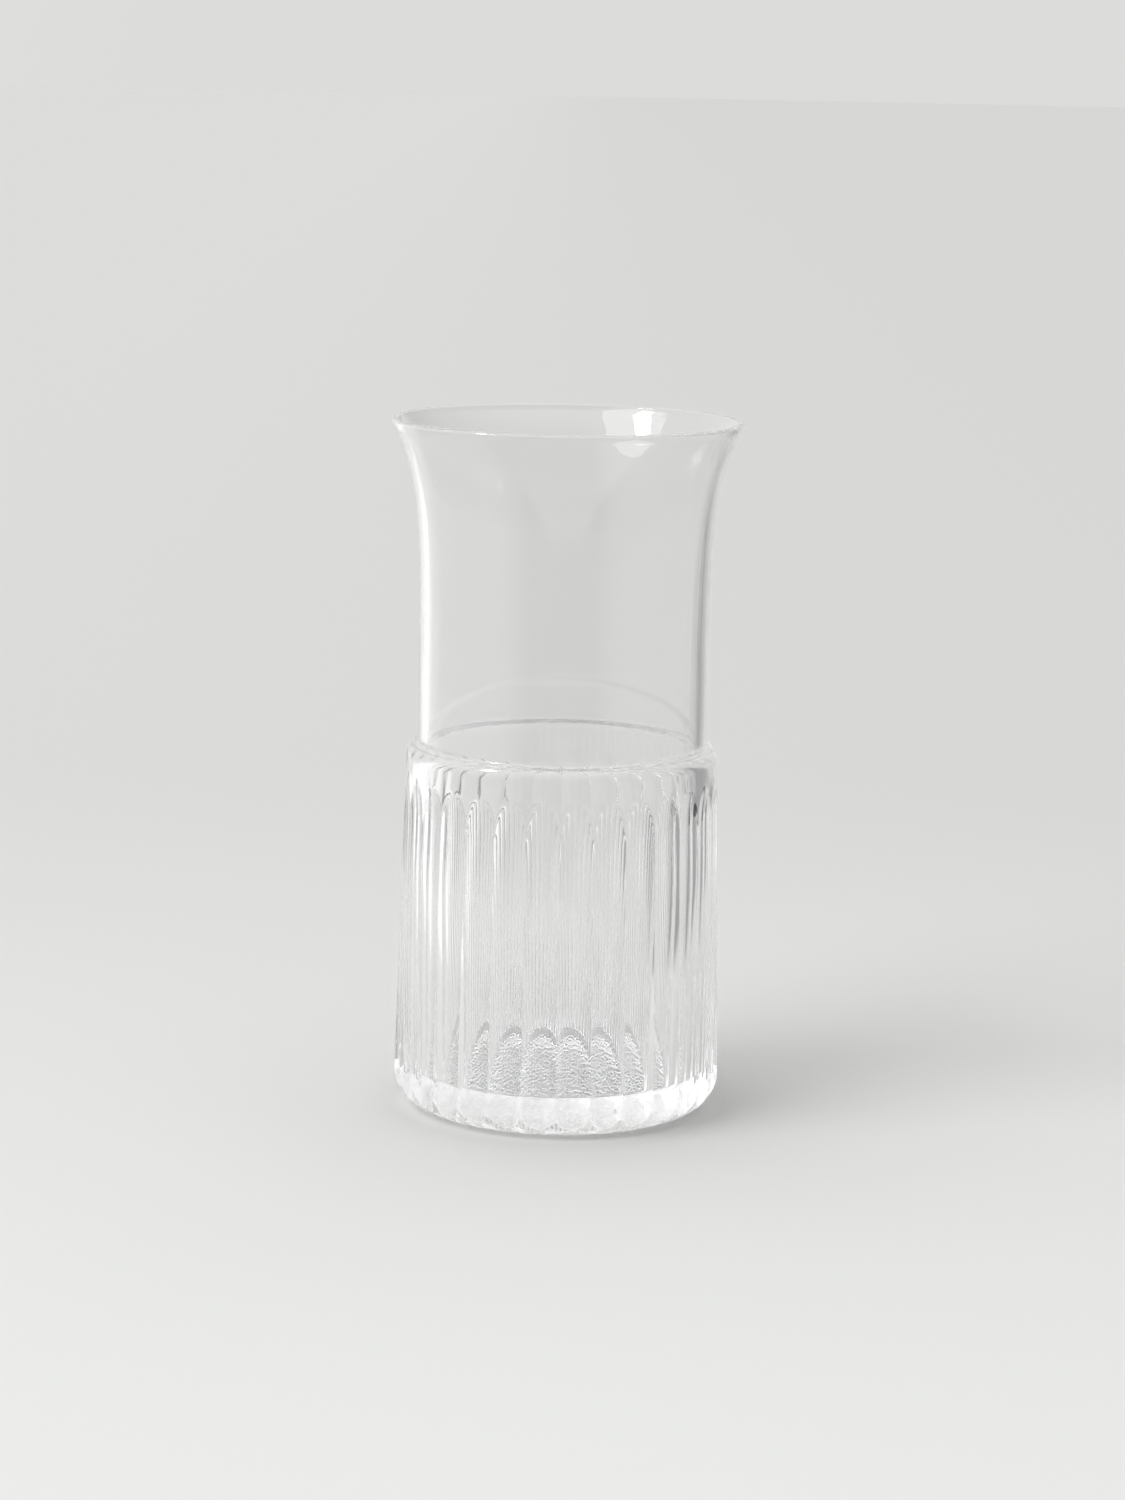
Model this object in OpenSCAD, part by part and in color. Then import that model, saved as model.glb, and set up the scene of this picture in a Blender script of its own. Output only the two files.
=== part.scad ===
// Half-moulded juice glass: a thin blown cup with a flared, fire-polished lip,
// whose lower half sits in a thicker jacket of glass with upright flutes.
// Millimetres. The glass stands on the plane z = 0, and its axis is the Z axis.

/* [Glass] */
// Height from the table to the top of the lip
height = 120; // [112:1:140]
// Diameter over the lip
lip_d = 60.4; // [56:0.2:66]
// Diameter of the plain waist just above the shoulder
waist_d = 50; // [47:0.2:51]
// Diameter over the ridges at the belly, the widest place
body_d = 56.7; // [56:0.1:62]
// Height of the shoulder, where the fluted jacket ends
shoulder_h = 63.6; // [56:0.2:70]

/* [Blown cup] */
// Wall of the plain waist
waist_wall = 1.7; // [1.2:0.1:2.2]
// Wall at the lip, which is also the diameter of its rounded edge
lip_wall = 1.1; // [0.8:0.1:1.6]
// Wall of the cup inside the jacket
lining_wall = 1.3; // [0.8:0.1:1.8]
// Thickness of the cup's floor
floor_wall = 1.5; // [1:0.1:2.5]
// Radius between the inside wall and the inside floor
floor_fillet = 0.5; // [0.4:0.1:2]
// Height of the plain waist between the shoulder and the start of the flare
waist_h = 16.4; // [8:0.2:24]
// How late the flare opens: 2 is an even curve, more is a sharper lip
flare_power = 4; // [2:0.1:6]

/* [Fluted jacket] */
// Number of upright flutes
flute_count = 30; // [20:1:36]
// Depth of a flute at the belly
flute_depth = 1.7; // [1:0.1:2]
// Depth of a flute below its rounded top
flute_top_depth = 0.7; // [0.4:0.1:1]
// Width of the ridge between two flutes at the belly
ridge_w = 0.4; // [0.2:0.1:1]
// Smooth band between the shoulder and the flute tops
band_h = 5.4; // [3:0.1:10]
// Height over which a flute runs out at its top
flute_end_h = 6; // [2:0.1:8]
// How much narrower the body is at the shoulder than at the belly, per side
taper = 1.45; // [0.8:0.05:1.7]
// Wall of the jacket behind the flutes at the belly
jacket_wall = 0.9; // [0.7:0.1:1.4]
// Height over which the cup narrows from the jacket's bore to the waist
neck_h = 26; // [16:1:36]
// Radius of the shoulder's outer edge
shoulder_round = 1.4; // [0.4:0.1:1.6]

/* [Foot] */
// Thickness of the jacket's glass below the cup
base_h = 5.4; // [4:0.1:9]
// Radius of the rounded foot edge
foot_round = 6; // [3:0.1:7]
// Height of the belly above the table
belly_h = 8; // [7:0.5:12]
// Diameter of the hollow under the foot
punt_d = 40; // [24:1:44]
// Depth of the hollow under the foot
punt_h = 0.8; // [0.4:0.1:1.5]

/* [Hidden] */
$fn = 96;
// How far a cut runs past the face that it opens
overrun = 1;
// Slope at which the rounded foot edge leaves the ridges, in degrees
foot_lead = 12;
// Straight steps that stand for one curve of an outline
curve_steps = 24;
round_steps = 8;

lip_r = lip_d / 2;
waist_r = waist_d / 2;
body_r = body_d / 2;
flute_low_r = body_r - flute_depth;
bore_r = flute_low_r - jacket_wall;
flare_z = shoulder_h + waist_h;
lip_z = height - lip_wall / 2;
floor_z = base_h + floor_wall;
flute_top_z = shoulder_h - band_h;
neck_z = shoulder_h - neck_h;
flute_pitch = 360 / flute_count;
// A ridge, and not a flute, faces the front
first_flute = flute_pitch / 2 - 90;

// The barrel narrows evenly from the belly to the shoulder
barrel_h = shoulder_h - belly_h;
lean = atan(taper / barrel_h);
function barrel_at(z) = body_r - (z - belly_h) * tan(lean);

// Round flute as deep as asked at the belly, which leaves the ridges beside it
flute_open = flute_pitch / 2 - atan(ridge_w / 2 / body_r);
flute_rise = body_r * cos(flute_open) - flute_low_r;
flute_reach = body_r * sin(flute_open);
flute_r = (flute_rise * flute_rise + flute_reach * flute_reach) / (2 * flute_rise);

// The flutes lean less than the barrel, so that they grow shallower upwards
flute_end_r = barrel_at(flute_top_z) - flute_top_depth;
flute_lean = atan((flute_low_r - flute_end_r) / (flute_top_z - belly_h));

// Outside radius of the cup at a height: jacket's bore, neck, waist, then flare
function ease(t) = (1 - cos(180 * min(max(t, 0), 1))) / 2;
function neck_share(z) = ease((z - neck_z) / neck_h);
function flare_share(z) = max(z - flare_z, 0) / (lip_z - flare_z);
function cup_r(z) = bore_r + (waist_r - bore_r) * neck_share(z)
    + (lip_r - waist_r) * pow(flare_share(z), flare_power);
function cup_wall(z) = lining_wall + (waist_wall - lining_wall) * neck_share(z)
    + (lip_wall - waist_wall) * flare_share(z);

// Points of an arc about [x, z], from one angle to another
function arc(x, z, r, from, to) =
    [for (i = [0 : round_steps])
        let (a = from + (to - from) * i / round_steps)
        [x + r * cos(a), z + r * sin(a)]];

// Heights from one level to another in even steps
function levels(from, to) = [for (i = [0 : curve_steps]) from + (to - from) * i / curve_steps];

// Underside and side of the cup up to the shoulder, from the axis outwards
cup_corner = floor_fillet + lining_wall;
cup_seat = concat(
    [[0, base_h]],
    arc(bore_r - cup_corner, base_h + cup_corner, cup_corner, -90, 0),
    [for (z = levels(neck_z, shoulder_h)) [cup_r(z), z]]
);

// Thin cup, lined up with the jacket's bore below and open at the lip
module blown_cup()
    color("aliceblue")
    rotate_extrude()
    polygon(concat(
        cup_seat,
        [for (z = levels(flare_z, lip_z)) [cup_r(z), z]],
        arc(lip_r - lip_wall / 2, lip_z, lip_wall / 2, 0, 180),
        [for (z = levels(lip_z, flare_z)) [cup_r(z) - cup_wall(z), z]],
        [for (z = levels(shoulder_h, neck_z)) [cup_r(z) - cup_wall(z), z]],
        arc(bore_r - cup_corner, floor_z + floor_fillet, floor_fillet, 0, -90),
        [[0, floor_z]]
    ));

// Smooth barrel before it is fluted, with the band and the shoulder at its top
module barrel() {
    edge_z = shoulder_h - shoulder_round;
    rotate_extrude()
    polygon(concat(
        [[0, 0]],
        [[barrel_at(0), 0]],
        arc(barrel_at(edge_z) - shoulder_round, edge_z, shoulder_round, 0, 90),
        [[0, shoulder_h]]
    ));
}

// Round bar that hollows one flute
module flute()
    translate([flute_low_r + flute_r, 0, belly_h])
    rotate([0, -flute_lean, 0])
    translate([0, 0, -belly_h - overrun])
    cylinder(r = flute_r, h = shoulder_h + overrun);

// Ring of space that the flutes may hollow, which slopes out of the barrel at their tops
module flute_space() {
    clear_r = body_r + overrun;
    deep_r = flute_end_r - overrun;
    top_r = barrel_at(flute_top_z);
    slope = flute_end_h / flute_top_depth;
    rotate_extrude()
    polygon([
        [deep_r, -overrun],
        [clear_r, -overrun],
        [clear_r, flute_top_z + slope * (clear_r - top_r)],
        [deep_r, flute_top_z - slope * (top_r - deep_r)]
    ]);
}

// Ring of space outside the rounded foot edge
module foot_space() {
    clear_r = body_r + overrun;
    edge = arc(body_r - foot_round, foot_round, foot_round, -90, -foot_lead);
    edge_end = edge[round_steps];
    rotate_extrude()
    polygon(concat(
        edge,
        [[clear_r, edge_end[1] + (clear_r - edge_end[0]) / tan(foot_lead)]],
        [[clear_r, -overrun]],
        [[body_r - foot_round, -overrun]]
    ));
}

// Shallow spherical hollow that leaves a flat ring to stand on
module punt_space() {
    punt_r = (punt_d * punt_d / 4 + punt_h * punt_h) / (2 * punt_h);
    translate([0, 0, punt_h - punt_r])
    sphere(r = punt_r);
}

// Space that the cup fills, open at the shoulder
module cup_space()
    rotate_extrude()
    polygon(concat(
        cup_seat,
        [[waist_r, shoulder_h + overrun]],
        [[0, shoulder_h + overrun]]
    ));

// Outer gather: fluted barrel, rounded at the foot and hollowed above and below
module fluted_jacket()
    color("lightcyan")
    difference() {
        barrel();
        intersection() {
            flute_space();
            for (i = [0 : flute_count - 1])
                rotate([0, 0, first_flute + i * flute_pitch])
                flute();
        }
        foot_space();
        punt_space();
        cup_space();
    }

blown_cup();
fluted_jacket();
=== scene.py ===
"""Juice glass: a thin blown cup with a flared lip, its lower half cased in fluted glass.

Both pieces are turned from an outline round the Z axis, and the flutes are hollowed in the
jacket's outer skin before it is copied round. Sizes are in metres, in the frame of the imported
part.
"""
import math

import bpy
from bpy.props import FloatProperty, FloatVectorProperty, IntProperty, PointerProperty
from mathutils import Matrix, Vector


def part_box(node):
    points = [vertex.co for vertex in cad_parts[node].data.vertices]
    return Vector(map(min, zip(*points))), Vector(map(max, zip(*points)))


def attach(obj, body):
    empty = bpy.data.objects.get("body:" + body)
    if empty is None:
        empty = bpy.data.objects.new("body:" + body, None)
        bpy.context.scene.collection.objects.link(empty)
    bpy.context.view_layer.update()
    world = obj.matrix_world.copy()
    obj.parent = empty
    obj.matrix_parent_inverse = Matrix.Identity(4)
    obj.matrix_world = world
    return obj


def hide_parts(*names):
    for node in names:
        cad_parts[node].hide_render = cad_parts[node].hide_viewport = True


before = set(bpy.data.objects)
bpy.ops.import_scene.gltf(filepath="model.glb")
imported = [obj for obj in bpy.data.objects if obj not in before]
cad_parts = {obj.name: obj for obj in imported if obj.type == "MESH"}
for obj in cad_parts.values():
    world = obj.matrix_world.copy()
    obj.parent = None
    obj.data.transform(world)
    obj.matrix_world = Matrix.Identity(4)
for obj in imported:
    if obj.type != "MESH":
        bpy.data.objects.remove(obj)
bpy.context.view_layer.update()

bl_info = {
    "name": "Fluted juice glass",
    "version": (1, 0, 0),
    "blender": (4, 5, 0),
    "location": "View3D > Sidebar > Juice glass",
    "description": "Builds a half-fluted drinking glass and a pale studio round its frame",
    "category": "Add Mesh",
}

_, CUP_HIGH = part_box("blown_cup")
_, JACKET_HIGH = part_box("fluted_jacket")
MERGE_GAP = 2e-6
FULL_TURN = 2 * math.pi
QUARTER = math.pi / 2
SHARP_ANGLE = math.radians(35)

# Steps along the runs of the two outlines
SEAT_STEPS = 8
SEAT_NECK_STEPS = 12
WAIST_STEPS = 4
FLARE_STEPS = 40
LIP_STEPS = 16
NECK_STEPS = 24
CORNER_STEPS = 12
PUNT_STEPS = 20
FOOT_STEPS = 24
BARREL_STEPS = 6
TIP_STEPS = 16
SHOULDER_STEPS = 10
HOLLOW_STEPS = 5

# Scale, upright stretch and detail of the noise behind each mark in the glass
LINE_NOISE = (420, 0.03, 1.5)
RIPPLE_NOISE = (70, 0.6, 0.0)
SMEAR_NOISE = (45, 2.2, 3.0)
SMEAR_SPAN = (0.50, 0.72)
SMEAR_ROUGHNESS = 0.035
CELL_SCALE = 520
CELL_STRETCH = 0.3
DIMPLE_TOP = (0.0045, 0.0070)
# How strong the draw lines, ripple and dimples are in each piece
CUP_MARKS = (1.0, 0.3, 0.6)
JACKET_MARKS = (0.6, 0.7, 30.0)

# Studio: the sheet, its spans in metres for its painted light and painted shade, the lamps and the
# sides of the room
SHEET_RADIUS = 12.0
SHEET_DROP = -0.0002
SHEET_SIDES = 128
# Painted falloff of light: the sheet is painted darker from front to back over this span
PAINTED_FALLOFF_SPAN = (-0.25, 0.35)
# Painted light: the sheet is painted lighter towards the window side on the left and darker to the
# right
SIDELIGHT_PAINT_SPAN = (-0.30, 0.30)
SIDELIGHT_PAINT_LEVELS = (1.03, 0.97)
# Painted pool of light on the sheet under and round the base
PAINTED_GLOW_SPAN = (0.020, 0.030)
# Masks of the painted light and painted shade beside the picture, in front of it and away from the
# glass
EYE_BACK = 0.75
BESIDE_SPAN = (0.145, 0.19)
AHEAD_SPAN = (-0.36, -0.25)
AWAY_SPAN = (0.05, 0.12)
SUN_PLACE = (-0.94, -0.66, 0.96)
WINDOW_PLACE = (-1.02, -0.53, 0.96)
WINDOW_SIZE = (0.22, 0.40)
LAMP_TARGET = (0, 0, 0.05)
BRIGHT_WAY = (-0.96, 0.28, 0.15)
BRIGHT_SPAN = (0.35, 0.75)
DIM_WAY = (0.85, -0.53, -0.35)
DIM_SPAN = (-0.25, 0.15)
OVERHEAD_SPAN = (0.35, 0.85)
BOUNCES = {
    "max_bounces": 160,
    "transmission_bounces": 96,
    "glossy_bounces": 128,
    "transparent_max_bounces": 64,
}


class BlownCupSizes(bpy.types.PropertyGroup):
    lip_radius: FloatProperty(
        name="Lip radius", description="Outside radius of the flared lip",
        default=CUP_HIGH.x, unit="LENGTH")
    lip_top: FloatProperty(
        name="Lip height", description="Height of the lip above the table",
        default=CUP_HIGH.z, unit="LENGTH")
    lip_wall: FloatProperty(
        name="Lip wall", description="Thickness of the fire-polished lip",
        default=0.0011, unit="LENGTH")
    waist_radius: FloatProperty(
        name="Waist radius", description="Outside radius of the plain waist",
        default=0.0250, unit="LENGTH")
    waist_wall: FloatProperty(
        name="Waist wall", description="Thickness of the plain waist",
        default=0.0017, unit="LENGTH")
    flare_bottom: FloatProperty(
        name="Flare start", description="Height where the waist begins to flare",
        default=0.0800, unit="LENGTH")
    flare_power: FloatProperty(
        name="Flare power", description="How late the flare opens", default=4.0)
    bore_radius: FloatProperty(
        name="Bore radius", description="Outside radius of the cup inside the jacket",
        default=0.02575, unit="LENGTH")
    lining_wall: FloatProperty(
        name="Lining wall", description="Thickness of the cup inside the jacket",
        default=0.0013, unit="LENGTH")
    neck_bottom: FloatProperty(
        name="Neck start", description="Height where the cup begins to narrow to its waist",
        default=0.0376, unit="LENGTH")
    floor_wall: FloatProperty(
        name="Floor wall", description="Thickness of the cup's floor",
        default=0.0015, unit="LENGTH")
    floor_fillet: FloatProperty(
        name="Floor fillet", description="Radius between inside wall and inside floor",
        default=0.0005, unit="LENGTH")
    columns: IntProperty(
        name="Columns", description="Faces round the cup", default=300)
    sectors: IntProperty(
        name="Sectors", description="Equal sectors that the cup is copied from", default=20)


class FlutedJacketSizes(bpy.types.PropertyGroup):
    body_radius: FloatProperty(
        name="Body radius", description="Radius over the ridges at the belly",
        default=0.02835, unit="LENGTH")
    shoulder_top: FloatProperty(
        name="Shoulder height", description="Height where the jacket ends",
        default=JACKET_HIGH.z, unit="LENGTH")
    shoulder_drop: FloatProperty(
        name="Shoulder drop", description="Height over which the shoulder rounds down",
        default=0.0022, unit="LENGTH")
    shoulder_fillet: FloatProperty(
        name="Shoulder fillet", description="Hollow rounding between shoulder and waist",
        default=0.0008, unit="LENGTH")
    belly_height: FloatProperty(
        name="Belly height", description="Height of the widest place",
        default=0.0080, unit="LENGTH")
    taper: FloatProperty(
        name="Taper", description="How much narrower the shoulder is than the belly",
        default=0.00145, unit="LENGTH")
    base_thickness: FloatProperty(
        name="Base thickness", description="Glass of the jacket below the cup",
        default=0.0054, unit="LENGTH")
    foot_round: FloatProperty(
        name="Foot rounding", description="Radius of the foot edge",
        default=0.0060, unit="LENGTH")
    punt_radius: FloatProperty(
        name="Punt radius", description="Radius of the hollow under the foot",
        default=0.0200, unit="LENGTH")
    punt_depth: FloatProperty(
        name="Punt depth", description="Depth of the hollow under the foot",
        default=0.0008, unit="LENGTH")
    flute_count: IntProperty(
        name="Flutes", description="Number of upright flutes", default=30)
    flute_depth: FloatProperty(
        name="Flute depth", description="How far a flute sinks below its ridges at the belly",
        default=0.0017, unit="LENGTH")
    flute_fade: FloatProperty(
        name="Flute fade", description="Share of its depth that a flute loses on its way up",
        default=0.66)
    flute_top: FloatProperty(
        name="Flute top", description="Height of the flute tops",
        default=0.0582, unit="LENGTH")
    flute_tip: FloatProperty(
        name="Flute tip", description="Length of the rounded end of a flute",
        default=0.0068, unit="LENGTH")
    flute_power: FloatProperty(
        name="Flute power", description="2 is a round flute, more a flatter one with steep sides",
        default=2.1)
    columns_per_flute: IntProperty(
        name="Columns per flute", description="Faces across one flute", default=28)


class GlassFinish(bpy.types.PropertyGroup):
    cup_tint: FloatVectorProperty(
        name="Cup tint", description="Colour of the thin blown glass", subtype="COLOR",
        size=4, min=0, max=1, default=(0.982, 0.980, 0.983, 1.0))
    jacket_tint: FloatVectorProperty(
        name="Jacket tint", description="Colour of the thick moulded glass", subtype="COLOR",
        size=4, min=0, max=1, default=(0.998, 0.997, 0.999, 1.0))
    ior: FloatProperty(
        name="Refractive index", description="Refractive index of soda glass",
        default=1.52)
    mark_depth: FloatProperty(
        name="Mark depth", description="Depth of the draw lines and ripple in the surface",
        default=0.00002, unit="LENGTH")


class StudioSettings(bpy.types.PropertyGroup):
    camera_place: FloatVectorProperty(
        name="Camera place", description="Where the camera stands", subtype="XYZ",
        unit="LENGTH", size=3, default=(0.00012, -0.6994, 0.1846))
    camera_pitch: FloatProperty(
        name="Camera pitch", description="How far the camera looks down",
        subtype="ANGLE", default=math.radians(9.90))
    camera_roll: FloatProperty(
        name="Camera roll", description="How far the camera leans over",
        subtype="ANGLE", default=math.radians(1.09))
    camera_lens: FloatProperty(
        name="Lens", description="Focal length in millimetres", default=98.33)
    # Near and far sheet colours carry a painted falloff of light: lighter in front, darker behind
    near_colour: FloatVectorProperty(
        name="Near sheet", description="Pale sheet in front of the glass",
        subtype="COLOR", size=4, min=0, max=1, default=(0.775, 0.783, 0.772, 1.0))
    far_colour: FloatVectorProperty(
        name="Far sheet", description="Pale sheet far behind the glass",
        subtype="COLOR", size=4, min=0, max=1, default=(0.65, 0.655, 0.638, 1.0))
    # Painted shade: the sheet out of the picture on the dim side and in front is painted dark
    painted_shade_sheet: FloatVectorProperty(
        name="Dim sheet", description="Sheet on the dim side, out of the picture",
        subtype="COLOR", size=4, min=0, max=1, default=(0.33, 0.33, 0.33, 1.0))
    # Painted light: the sheet out of the picture on the window side is painted brighter
    painted_light_sheet: FloatVectorProperty(
        name="Bright sheet", description="Sheet on the window side, out of the picture",
        subtype="COLOR", size=4, min=0, max=2, default=(1.0, 1.0, 0.995, 1.0))
    # Painted pool of light: the sheet is painted lighter under the base, where the glass gathers
    # light
    painted_base_glow: FloatProperty(
        name="Base glow", description="How much lighter the sheet is where the base gathers light",
        default=1.75)
    horizon_colour: FloatVectorProperty(
        name="Horizon", description="Backdrop above the far edge of the sheet",
        subtype="COLOR", size=4, min=0, max=1, default=(0.715, 0.72, 0.70, 1.0))
    bright_side: FloatVectorProperty(
        name="Bright side", description="Light of the room on the window side",
        subtype="COLOR", size=4, min=0, max=4, default=(0.95, 0.95, 0.95, 1.0))
    top_side: FloatVectorProperty(
        name="Top side", description="Light of the room from above",
        subtype="COLOR", size=4, min=0, max=4, default=(1.05, 1.05, 1.05, 1.0))
    dim_side: FloatVectorProperty(
        name="Dim side", description="Light of the room away from the window",
        subtype="COLOR", size=4, min=0, max=4, default=(0.05, 0.05, 0.052, 1.0))
    sun_strength: FloatProperty(
        name="Daylight strength", description="Strength of the soft light from the window side",
        default=1.2)
    sun_angle: FloatProperty(
        name="Daylight angle", description="How wide the soft light is", subtype="ANGLE",
        default=math.radians(42))
    window_power: FloatProperty(
        name="Window power", description="Power of the window that the glass reflects",
        unit="POWER", default=7.0)


def only(piece):
    """Select one object and make it the active one."""
    bpy.ops.object.select_all(action="DESELECT")
    piece.select_set(True)
    bpy.context.view_layer.objects.active = piece


def ease(share):
    """Soft step from 0 to 1."""
    return (1 - math.cos(math.pi * min(max(share, 0), 1))) / 2


def even(low, high, steps):
    """Values from one number to another in even steps, both ends among them."""
    return [low + (high - low) * i / steps for i in range(steps + 1)]


def arc(centre, across, up, first, last, steps):
    """Points of an elliptical arc in the outline's plane."""
    return [(centre[0] + across * math.cos(a), centre[1] + up * math.sin(a))
            for a in even(first, last, steps)]


def draw_outline(name, points, turn=0.0):
    """Draw an open outline in an upright plane by extruding a vertex from point to point."""
    bpy.ops.object.select_all(action="DESELECT")
    bpy.ops.mesh.primitive_plane_add(size=0.01, location=(0, 0, 0))
    piece = bpy.context.object
    piece.name = piece.data.name = name
    bpy.ops.object.mode_set(mode="EDIT")
    bpy.ops.mesh.select_mode(type="VERT")
    bpy.ops.mesh.select_all(action="SELECT")
    bpy.ops.mesh.merge(type="CENTER")
    here = Vector((0, 0, 0))
    for count, (across, up) in enumerate(points):
        step = Vector((across * math.cos(turn), across * math.sin(turn), up)) - here
        if count == 0:
            bpy.ops.transform.translate(value=step)
        else:
            bpy.ops.mesh.extrude_vertices_move(TRANSFORM_OT_translate={"value": step})
        here += step
    bpy.ops.object.mode_set(mode="OBJECT")
    return piece


def mark_run(piece, name, first, last):
    """Put a run of the outline's vertices into a new vertex group, which the spin copies."""
    group = piece.vertex_groups.new(name=name)
    group.add(list(range(first, last + 1)), 1.0, "REPLACE")


def spin_sector(piece, angle, columns):
    """Spin the outline through one sector round the Z axis."""
    only(piece)
    bpy.ops.object.mode_set(mode="EDIT")
    bpy.ops.mesh.select_all(action="SELECT")
    bpy.ops.mesh.spin(steps=columns, angle=angle, center=(0, 0, 0), axis=(0, 0, 1))
    close_mesh()


def copy_round(piece, sectors):
    """Copy a finished sector all the way round and close the seams and poles."""
    only(piece)
    bpy.ops.object.mode_set(mode="EDIT")
    bpy.ops.mesh.select_all(action="SELECT")
    bpy.ops.mesh.spin(steps=sectors, angle=FULL_TURN, dupli=True, center=(0, 0, 0),
                      axis=(0, 0, 1))
    close_mesh()
    bpy.ops.object.shade_smooth_by_angle(angle=SHARP_ANGLE)


def close_mesh():
    """Merge what lies in one place, turn the faces outwards and leave edit mode."""
    bpy.ops.mesh.select_all(action="SELECT")
    bpy.ops.mesh.remove_doubles(threshold=MERGE_GAP)
    bpy.ops.mesh.normals_make_consistent(inside=False)
    bpy.ops.object.mode_set(mode="OBJECT")


def give_materials(piece, skin, fused, group):
    """Skin all over, and the fused face on the faces of one vertex group."""
    piece.data.materials.append(skin)
    piece.data.materials.append(fused)
    only(piece)
    bpy.ops.object.mode_set(mode="EDIT")
    bpy.ops.mesh.select_mode(type="VERT")
    bpy.ops.mesh.select_all(action="DESELECT")
    piece.vertex_groups.active_index = piece.vertex_groups[group].index
    bpy.ops.object.vertex_group_select()
    bpy.ops.mesh.select_mode(type="FACE")
    piece.active_material_index = 1
    bpy.ops.object.material_slot_assign()
    bpy.ops.mesh.select_mode(type="VERT")
    bpy.ops.object.mode_set(mode="OBJECT")


def cup_radius(s, shoulder, height):
    """Outside radius of the cup at a height: bore, neck, waist, then flare."""
    neck = ease((height - s.neck_bottom) / (shoulder - s.neck_bottom))
    lip = s.lip_top - s.lip_wall / 2
    flare = max(height - s.flare_bottom, 0) / (lip - s.flare_bottom)
    return (s.bore_radius + (s.waist_radius - s.bore_radius) * neck
            + (s.lip_radius - s.waist_radius) * flare ** s.flare_power)


def cup_thickness(s, shoulder, height):
    """Wall of the cup at a height."""
    neck = ease((height - s.neck_bottom) / (shoulder - s.neck_bottom))
    lip = s.lip_top - s.lip_wall / 2
    flare = max(height - s.flare_bottom, 0) / (lip - s.flare_bottom)
    return (s.lining_wall + (s.waist_wall - s.lining_wall) * neck
            + (s.lip_wall - s.waist_wall) * flare)


def cup_seat(s, shoulder, base, fillet):
    """Outline of the cup's fused underside and side, from the axis out."""
    corner = s.floor_fillet + s.lining_wall
    points = [(0.0, base)]
    points += arc((s.bore_radius - corner, base + corner), corner, corner, -QUARTER, 0,
                  SEAT_STEPS)
    points += [(cup_radius(s, shoulder, z), z)
               for z in even(s.neck_bottom, shoulder, SEAT_NECK_STEPS)]
    points += [(s.waist_radius, shoulder + fillet)]
    return points


def new_nodes(owner):
    """Emptied node tree of a new material or world."""
    owner.use_nodes = True
    owner.node_tree.nodes.clear()
    return owner.node_tree


def feed(tree, value, socket):
    """Link another socket to this one, or set it to a plain value."""
    if isinstance(value, bpy.types.NodeSocket):
        tree.links.new(value, socket)
    else:
        socket.default_value = value


def ramp(tree, source, span, levels=(0, 1)):
    """Soft ramp from one level to another over a span of the source's value."""
    node = tree.nodes.new("ShaderNodeMapRange")
    node.interpolation_type = "SMOOTHSTEP"
    feed(tree, source, node.inputs["Value"])
    for name, value in zip(("From Min", "From Max", "To Min", "To Max"), (*span, *levels)):
        node.inputs[name].default_value = value
    return node.outputs["Result"]


def blend(tree, share, first, last):
    """Mix of two colours."""
    node = tree.nodes.new("ShaderNodeMix")
    node.data_type = "RGBA"
    feed(tree, share, node.inputs[0])
    feed(tree, first, node.inputs[6])
    feed(tree, last, node.inputs[7])
    return node.outputs[2]


def combine(tree, operation, first, second):
    """Sum, product or another combination of two values."""
    node = tree.nodes.new("ShaderNodeMath")
    node.operation = operation
    feed(tree, first, node.inputs[0])
    feed(tree, second, node.inputs[1])
    return node.outputs[0]


def stretch(tree, place, height):
    """Place with its height scaled, which draws a pattern out or flattens it."""
    node = tree.nodes.new("ShaderNodeMapping")
    node.inputs["Scale"].default_value = (1, 1, height)
    feed(tree, place, node.inputs["Vector"])
    return node.outputs["Vector"]


def noise(tree, place, scale, height, detail):
    """Noise that is drawn out along the glass's height."""
    node = tree.nodes.new("ShaderNodeTexNoise")
    node.inputs["Scale"].default_value = scale
    node.inputs["Detail"].default_value = detail
    feed(tree, stretch(tree, place, height), node.inputs["Vector"])
    return node.outputs["Fac"]


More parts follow.
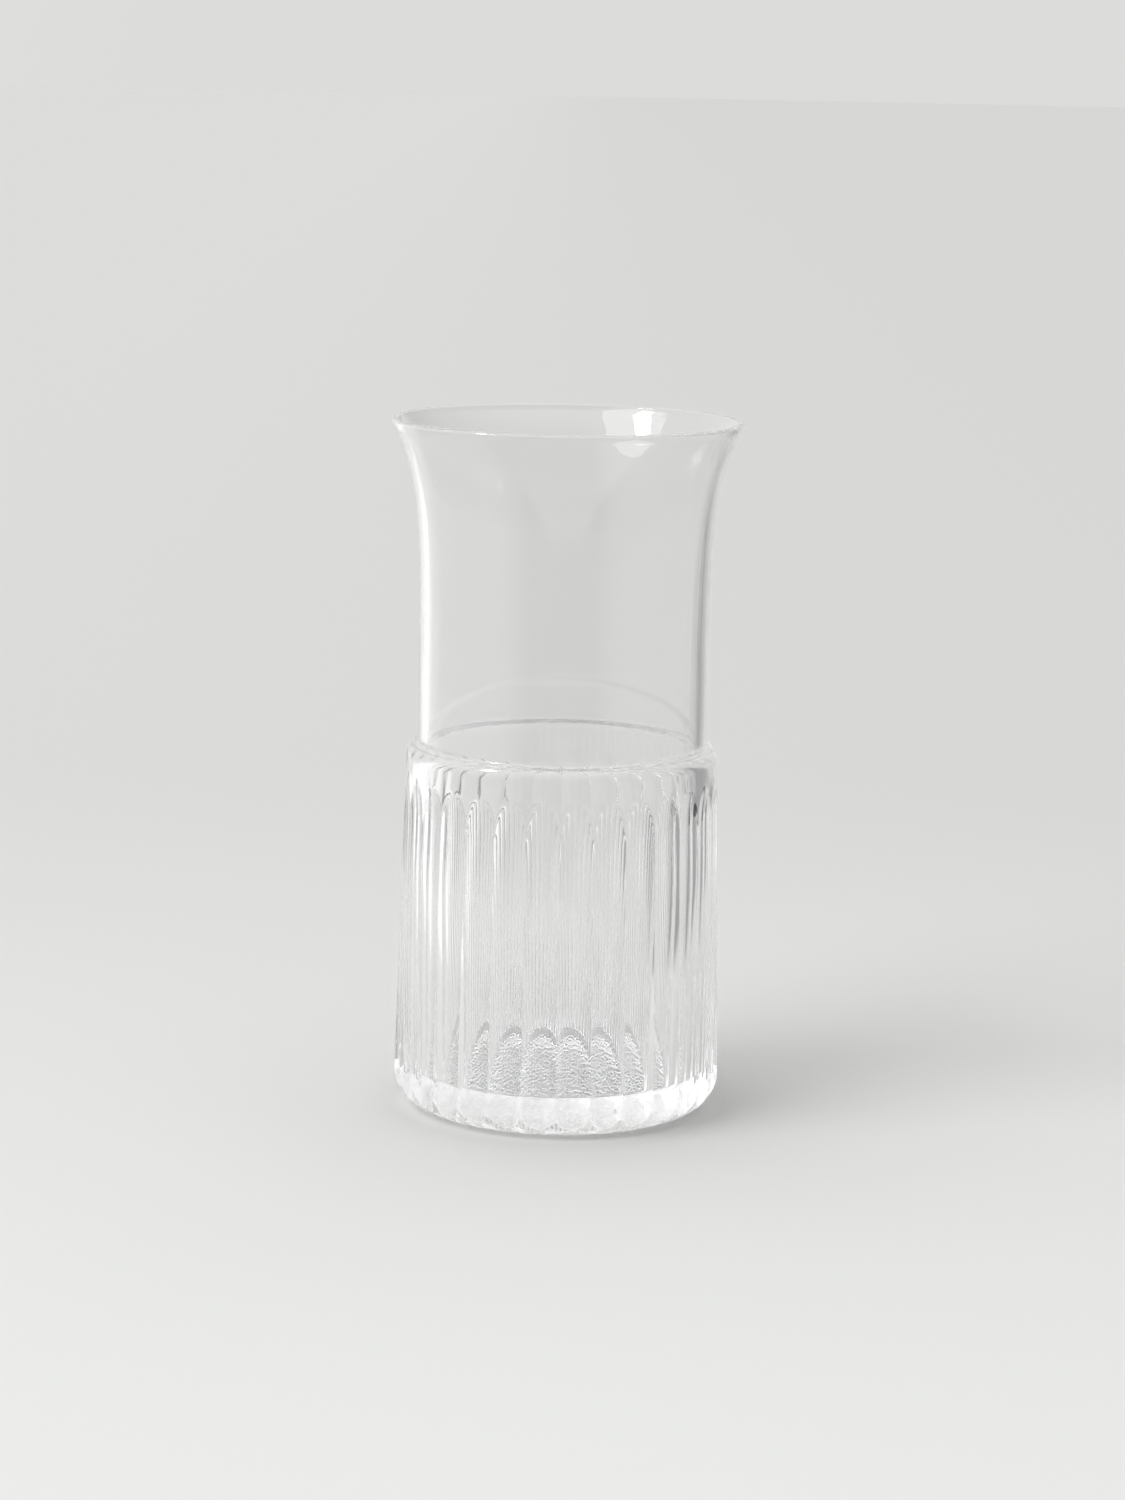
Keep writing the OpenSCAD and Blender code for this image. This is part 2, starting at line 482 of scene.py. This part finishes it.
def drawn_glass_group():
    """Marks of the making: upright draw lines, a slow ripple, foot dimples, wiped smears."""
    known = bpy.data.node_groups.get("drawn_glass")
    if known:
        return known
    tree = bpy.data.node_groups.new("drawn_glass", "ShaderNodeTree")
    for name, default in (("Lines", 1.0), ("Ripple", 1.0), ("Dimples", 0.0)):
        socket = tree.interface.new_socket(name, in_out="INPUT", socket_type="NodeSocketFloat")
        socket.default_value = default
    for name in ("Height", "Smear"):
        tree.interface.new_socket(name, in_out="OUTPUT", socket_type="NodeSocketFloat")
    start = tree.nodes.new("NodeGroupInput")
    end = tree.nodes.new("NodeGroupOutput")
    place = tree.nodes.new("ShaderNodeTexCoord").outputs["Object"]
    axes = tree.nodes.new("ShaderNodeSeparateXYZ")
    feed(tree, place, axes.inputs[0])
    lines = combine(tree, "MULTIPLY", noise(tree, place, *LINE_NOISE), start.outputs["Lines"])
    ripple = combine(tree, "MULTIPLY", noise(tree, place, *RIPPLE_NOISE), start.outputs["Ripple"])
    cells = tree.nodes.new("ShaderNodeTexVoronoi")
    cells.inputs["Scale"].default_value = CELL_SCALE
    feed(tree, stretch(tree, place, CELL_STRETCH), cells.inputs["Vector"])
    bowls = combine(tree, "MULTIPLY", cells.outputs["Distance"], cells.outputs["Distance"])
    low = ramp(tree, axes.outputs["Z"], DIMPLE_TOP, (1, 0))
    dimples = combine(tree, "MULTIPLY", combine(tree, "MULTIPLY", bowls, low),
                      start.outputs["Dimples"])
    height = combine(tree, "ADD", combine(tree, "ADD", lines, ripple), dimples)
    smear = ramp(tree, noise(tree, place, *SMEAR_NOISE), SMEAR_SPAN, (0, SMEAR_ROUGHNESS))
    feed(tree, height, end.inputs["Height"])
    feed(tree, smear, end.inputs["Smear"])
    return tree


def glass_material(name, finish, tint, marks):
    """Clear glass of one gather, with the marks of its making."""
    material = bpy.data.materials.new(name)
    tree = new_nodes(material)
    out = tree.nodes.new("ShaderNodeOutputMaterial")
    glass = tree.nodes.new("ShaderNodeBsdfPrincipled")
    glass.inputs["Base Color"].default_value = tint
    glass.inputs["IOR"].default_value = finish.ior
    glass.inputs["Transmission Weight"].default_value = 1.0
    drawn = tree.nodes.new("ShaderNodeGroup")
    drawn.node_tree = drawn_glass_group()
    for socket, strength in zip(("Lines", "Ripple", "Dimples"), marks):
        drawn.inputs[socket].default_value = strength
    relief = tree.nodes.new("ShaderNodeBump")
    relief.inputs["Strength"].default_value = 1.0
    relief.inputs["Distance"].default_value = finish.mark_depth
    feed(tree, drawn.outputs["Height"], relief.inputs["Height"])
    feed(tree, relief.outputs["Normal"], glass.inputs["Normal"])
    feed(tree, drawn.outputs["Smear"], glass.inputs["Roughness"])
    feed(tree, glass.outputs["BSDF"], out.inputs["Surface"])
    return material


def fused_material():
    """Face where the two gathers are melted together: light passes it unbent."""
    known = bpy.data.materials.get("fused_face")
    if known:
        return known
    material = bpy.data.materials.new("fused_face")
    tree = new_nodes(material)
    out = tree.nodes.new("ShaderNodeOutputMaterial")
    face = tree.nodes.new("ShaderNodeBsdfTransparent")
    tree.links.new(face.outputs["BSDF"], out.inputs["Surface"])
    return material


class GLASS_OT_blown_cup(bpy.types.Operator):
    """Turn the thin cup with its waist, flare, rounded lip and flat inside floor"""
    bl_idname = "juice_glass.blown_cup"
    bl_label = "Blown cup"

    def execute(self, context):
        s = context.scene.blown_cup_sizes
        j = context.scene.fluted_jacket_sizes
        shoulder = j.shoulder_top
        lip = s.lip_top - s.lip_wall / 2
        floor = j.base_thickness + s.floor_wall
        fillet = j.shoulder_fillet
        seat = cup_seat(s, shoulder, j.base_thickness, fillet)
        corner = s.floor_fillet + s.lining_wall
        points = list(seat)
        points += [(cup_radius(s, shoulder, z), z)
                   for z in even(shoulder + fillet, s.flare_bottom, WAIST_STEPS)[1:]]
        points += [(cup_radius(s, shoulder, z), z)
                   for z in even(s.flare_bottom, lip, FLARE_STEPS)[1:]]
        points += arc((s.lip_radius - s.lip_wall / 2, lip), s.lip_wall / 2,
                      s.lip_wall / 2, 0, math.pi, LIP_STEPS)[1:]
        inside = even(lip, s.flare_bottom, FLARE_STEPS)[1:]
        inside += even(s.flare_bottom, shoulder, WAIST_STEPS)[1:]
        inside += even(shoulder, s.neck_bottom, NECK_STEPS)[1:]
        points += [(cup_radius(s, shoulder, z) - cup_thickness(s, shoulder, z), z)
                   for z in inside]
        points += arc((s.bore_radius - corner, floor + s.floor_fillet), s.floor_fillet,
                      s.floor_fillet, 0, -QUARTER, CORNER_STEPS)
        points += [(0.0, floor)]
        piece = draw_outline("blown_cup_glass", points)
        mark_run(piece, "fused", 0, len(seat) - 1)
        spin_sector(piece, FULL_TURN / s.sectors, s.columns // s.sectors)
        copy_round(piece, s.sectors)
        finish = context.scene.glass_finish
        skin = glass_material("blown_glass", finish, finish.cup_tint, CUP_MARKS)
        give_materials(piece, skin, fused_material(), "fused")
        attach(piece, "root")
        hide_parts("blown_cup")
        return {"FINISHED"}


class GLASS_OT_fluted_jacket(bpy.types.Operator):
    """Turn the thick lower casing, hollow its flutes and round its foot"""
    bl_idname = "juice_glass.fluted_jacket"
    bl_label = "Fluted jacket"

    def execute(self, context):
        s = context.scene.fluted_jacket_sizes
        cup = context.scene.blown_cup_sizes
        lean = s.taper / (s.shoulder_top - s.belly_height)

        def ridge_at(height):
            """Radius over the ridges at a height."""
            return s.body_radius - (height - s.belly_height) * lean

        points = [(s.punt_radius * share, s.punt_depth * (1 - share * share))
                  for share in even(0, 1, PUNT_STEPS)]
        first_skin = len(points)
        stand = s.body_radius - s.foot_round
        points += arc((stand, s.foot_round), s.foot_round, s.foot_round, -QUARTER, 0,
                      FOOT_STEPS)
        tip_low = s.flute_top - s.flute_tip
        edge = s.shoulder_top - s.shoulder_drop
        barrel = even(s.belly_height, tip_low, BARREL_STEPS)
        barrel += even(tip_low, edge, TIP_STEPS)[1:]
        points += [(ridge_at(z), z) for z in barrel]
        fillet = s.shoulder_fillet
        flat = cup.waist_radius + fillet
        points += arc((flat, edge), ridge_at(edge) - flat, s.shoulder_drop, 0, QUARTER,
                      SHOULDER_STEPS)[1:]
        last_skin = len(points) - 1
        hollow = arc((flat, s.shoulder_top + fillet), fillet, fillet, -QUARTER, -math.pi,
                     HOLLOW_STEPS)
        points += hollow[1:-1]
        first_seat = len(points)
        points += reversed(cup_seat(cup, s.shoulder_top, s.base_thickness, fillet))
        last_seat = len(points) - 1
        half_pitch = math.pi / s.flute_count
        piece = draw_outline("fluted_jacket_glass", points, half_pitch)
        mark_run(piece, "fused", first_seat, last_seat)
        mark_run(piece, "flute", first_skin, last_skin)
        spin_sector(piece, 2 * half_pitch, s.columns_per_flute)
        self.hollow_flute(piece, s, ridge_at)
        copy_round(piece, s.flute_count)
        finish = context.scene.glass_finish
        skin = glass_material("moulded_glass", finish, finish.jacket_tint, JACKET_MARKS)
        give_materials(piece, skin, fused_material(), "fused")
        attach(piece, "root")
        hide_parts("fluted_jacket")
        return {"FINISHED"}

    def hollow_flute(self, piece, s, ridge_at):
        """Sink one sector's outer skin into a flute with a rounded top, cut off at the foot."""
        group = piece.vertex_groups["flute"]
        half = math.pi / s.flute_count
        for vertex in piece.data.vertices:
            if group.index not in [known.group for known in vertex.groups]:
                continue
            height = vertex.co.z
            across = abs(math.atan2(vertex.co.y, vertex.co.x)) / half
            along = max(height - s.flute_top + s.flute_tip, 0) / s.flute_tip
            off = min(math.hypot(across, along), 1)
            climb = (height - s.belly_height) / (s.flute_top - s.belly_height)
            depth = s.flute_depth * (1 - s.flute_fade * min(max(climb, 0), 1))
            low = ridge_at(max(height, s.belly_height)) - depth * (1 - off ** s.flute_power)
            sink = max(math.hypot(vertex.co.x, vertex.co.y) - low, 0) / s.flute_depth
            group.add([vertex.index], sink, "REPLACE")
        only(piece)
        press = piece.modifiers.new("flute", "DISPLACE")
        press.strength = -s.flute_depth
        press.mid_level = 0.0
        press.direction = "X"
        press.vertex_group = group.name
        bpy.ops.object.modifier_apply(modifier=press.name)


def room_side_group():
    """How far a way from the glass points to the bright side or the dim side of the room."""
    known = bpy.data.node_groups.get("room_side")
    if known:
        return known
    tree = bpy.data.node_groups.new("room_side", "ShaderNodeTree")
    tree.interface.new_socket("Way", in_out="INPUT", socket_type="NodeSocketVector")
    for name in ("Bright", "Dim"):
        tree.interface.new_socket(name, in_out="OUTPUT", socket_type="NodeSocketFloat")
    start = tree.nodes.new("NodeGroupInput")
    end = tree.nodes.new("NodeGroupOutput")
    unit = tree.nodes.new("ShaderNodeVectorMath")
    unit.operation = "NORMALIZE"
    feed(tree, start.outputs["Way"], unit.inputs[0])
    for name, way, span in (("Bright", BRIGHT_WAY, BRIGHT_SPAN), ("Dim", DIM_WAY, DIM_SPAN)):
        side = tree.nodes.new("ShaderNodeVectorMath")
        side.operation = "DOT_PRODUCT"
        side.inputs[1].default_value = way
        feed(tree, unit.outputs[0], side.inputs[0])
        feed(tree, ramp(tree, side.outputs["Value"], span), end.inputs[name])
    return tree


def room_side(tree, way):
    """Bright and dim shares of a way, as sockets."""
    node = tree.nodes.new("ShaderNodeGroup")
    node.node_tree = room_side_group()
    feed(tree, way, node.inputs["Way"])
    return node.outputs["Bright"], node.outputs["Dim"]


class GLASS_OT_studio(bpy.types.Operator):
    """Set the pale sheet, the window light, the room and the camera"""
    bl_idname = "juice_glass.studio"
    bl_label = "Studio"

    def execute(self, context):
        s = context.scene.studio_settings
        self.sheet(s)
        self.room(context.scene, s)
        self.lamps(s)
        self.camera(context.scene, s)
        context.scene.view_settings.view_transform = "Standard"
        for name, count in BOUNCES.items():
            setattr(context.scene.cycles, name, count)
        return {"FINISHED"}

    def sheet(self, s):
        """Pale sheet with painted light and painted shade: painted darker towards the back and
        towards the right, a painted pool of light under the base, painted light beside the picture
        on the window side and painted shade on the dim side.
        """
        bpy.ops.object.select_all(action="DESELECT")
        bpy.ops.mesh.primitive_circle_add(vertices=SHEET_SIDES, radius=SHEET_RADIUS,
                                          fill_type="NGON", location=(0, 0, SHEET_DROP))
        floor = bpy.context.object
        floor.name = floor.data.name = "pale_sheet"
        bpy.ops.object.transform_apply(location=True)
        material = bpy.data.materials.new("pale_sheet")
        tree = new_nodes(material)
        out = tree.nodes.new("ShaderNodeOutputMaterial")
        paper = tree.nodes.new("ShaderNodeBsdfDiffuse")
        place = tree.nodes.new("ShaderNodeTexCoord").outputs["Object"]
        axes = tree.nodes.new("ShaderNodeSeparateXYZ")
        feed(tree, place, axes.inputs[0])
        length = tree.nodes.new("ShaderNodeVectorMath")
        length.operation = "LENGTH"
        feed(tree, place, length.inputs[0])
        reach = length.outputs["Value"]
        bright, dim = room_side(tree, place)

        # Painted falloff of light: the sheet's colour goes from the near colour to the darker far
        # colour towards the back
        depth = ramp(tree, axes.outputs["Y"], PAINTED_FALLOFF_SPAN)
        # Painted light across the sheet: lighter on the window side, darker on the far side
        across = ramp(tree, axes.outputs["X"], SIDELIGHT_PAINT_SPAN, SIDELIGHT_PAINT_LEVELS)
        # Painted pool of light: the sheet's colour is raised under the base
        painted_glow = ramp(tree, reach, PAINTED_GLOW_SPAN, (s.painted_base_glow, 1))
        shade = tree.nodes.new("ShaderNodeVectorMath")
        shade.operation = "SCALE"
        feed(tree, blend(tree, depth, s.near_colour, s.far_colour), shade.inputs[0])
        feed(tree, combine(tree, "MULTIPLY", across, painted_glow), shade.inputs["Scale"])

        # Painted light and painted shade beside the picture: brighter sheet on the window side,
        # dark sheet on the dim side and in front
        offset = combine(tree, "ABSOLUTE", axes.outputs["X"], 0.0)
        from_eye = combine(tree, "ADD", axes.outputs["Y"], EYE_BACK)
        beside = ramp(tree, combine(tree, "DIVIDE", offset, from_eye), BESIDE_SPAN)
        ahead = ramp(tree, axes.outputs["Y"], AHEAD_SPAN, (1, 0))
        outside = combine(tree, "MAXIMUM", beside, ahead)
        away = ramp(tree, reach, AWAY_SPAN)
        painted_light_share = combine(tree, "MULTIPLY", bright, beside)
        # Painted shade: dark sheet on the dim side and in front, away from the glass
        painted_shade_share = combine(tree, "MULTIPLY", combine(tree, "MULTIPLY", dim, outside), away)
        lit = blend(tree, painted_light_share, shade.outputs[0], s.painted_light_sheet)
        feed(tree, blend(tree, painted_shade_share, lit, s.painted_shade_sheet), paper.inputs["Color"])
        feed(tree, paper.outputs["BSDF"], out.inputs["Surface"])
        floor.data.materials.append(material)

    def room(self, scene, s):
        """World round the sheet: pale horizon, bright side, dim side and light from above."""
        world = bpy.data.worlds.new("studio_room")
        scene.world = world
        tree = new_nodes(world)
        out = tree.nodes.new("ShaderNodeOutputWorld")
        back = tree.nodes.new("ShaderNodeBackground")
        way = tree.nodes.new("ShaderNodeTexCoord").outputs["Generated"]
        axes = tree.nodes.new("ShaderNodeSeparateXYZ")
        feed(tree, way, axes.inputs[0])
        bright, dim = room_side(tree, way)
        lit = blend(tree, bright, s.horizon_colour, s.bright_side)
        dimmed = blend(tree, dim, lit, s.dim_side)
        overhead = ramp(tree, axes.outputs["Z"], OVERHEAD_SPAN)
        feed(tree, blend(tree, overhead, dimmed, s.top_side), back.inputs["Color"])
        feed(tree, back.outputs["Background"], out.inputs["Surface"])

    def lamps(self, s):
        """Soft daylight, and the window that only the glass shows."""
        bpy.ops.object.select_all(action="DESELECT")
        bpy.ops.object.light_add(type="SUN", location=SUN_PLACE)
        sun = bpy.context.object
        sun.name = "daylight"
        sun.data.energy = s.sun_strength
        sun.data.angle = s.sun_angle
        sun.visible_glossy = False
        self.aim(sun)
        bpy.ops.object.select_all(action="DESELECT")
        bpy.ops.object.light_add(type="AREA", location=WINDOW_PLACE)
        window = bpy.context.object
        window.name = "window"
        window.data.shape = "RECTANGLE"
        window.data.size, window.data.size_y = WINDOW_SIZE
        window.data.energy = s.window_power
        window.visible_camera = False
        window.visible_diffuse = False
        self.aim(window)

    def aim(self, lamp):
        """Turn a lamp to the middle of the glass."""
        way = Vector(LAMP_TARGET) - lamp.location
        lamp.rotation_euler = way.to_track_quat("-Z", "Y").to_euler()

    def camera(self, scene, s):
        """Camera of the photograph."""
        bpy.ops.object.select_all(action="DESELECT")
        bpy.ops.object.camera_add()
        camera = bpy.context.object
        camera.name = "photo_camera"
        camera.data.lens = s.camera_lens
        camera.data.sensor_width = 36.0
        camera.data.clip_start = 0.01
        camera.matrix_world = (
            Matrix.Translation(s.camera_place)
            @ Matrix.Rotation(QUARTER - s.camera_pitch, 4, "X")
            @ Matrix.Rotation(s.camera_roll, 4, "Z"))
        scene.camera = camera


class GLASS_PT_panel(bpy.types.Panel):
    """List of the glass's pieces in the sidebar"""
    bl_idname = "GLASS_PT_panel"
    bl_label = "Juice glass"
    bl_space_type = "VIEW_3D"
    bl_region_type = "UI"
    bl_category = "Juice glass"

    def draw(self, context):
        for operator in OPERATORS:
            self.layout.operator(operator.bl_idname)


OPERATORS = (GLASS_OT_studio, GLASS_OT_blown_cup, GLASS_OT_fluted_jacket)
GROUPS = {
    "blown_cup_sizes": BlownCupSizes,
    "fluted_jacket_sizes": FlutedJacketSizes,
    "glass_finish": GlassFinish,
    "studio_settings": StudioSettings,
}


def register():
    """Register the classes and give the scene its settings."""
    for group in GROUPS.values():
        bpy.utils.register_class(group)
    for operator in OPERATORS:
        bpy.utils.register_class(operator)
    bpy.utils.register_class(GLASS_PT_panel)
    for name, group in GROUPS.items():
        setattr(bpy.types.Scene, name, PointerProperty(type=group))


def unregister():
    """Take the settings and classes away again."""
    for name in GROUPS:
        delattr(bpy.types.Scene, name)
    bpy.utils.unregister_class(GLASS_PT_panel)
    for operator in reversed(OPERATORS):
        bpy.utils.unregister_class(operator)
    for group in reversed(tuple(GROUPS.values())):
        bpy.utils.unregister_class(group)


def main():
    """Build the studio and both pieces."""
    register()
    bpy.ops.juice_glass.studio()
    bpy.ops.juice_glass.blown_cup()
    bpy.ops.juice_glass.fluted_jacket()


if __name__ == "__main__":
    main()
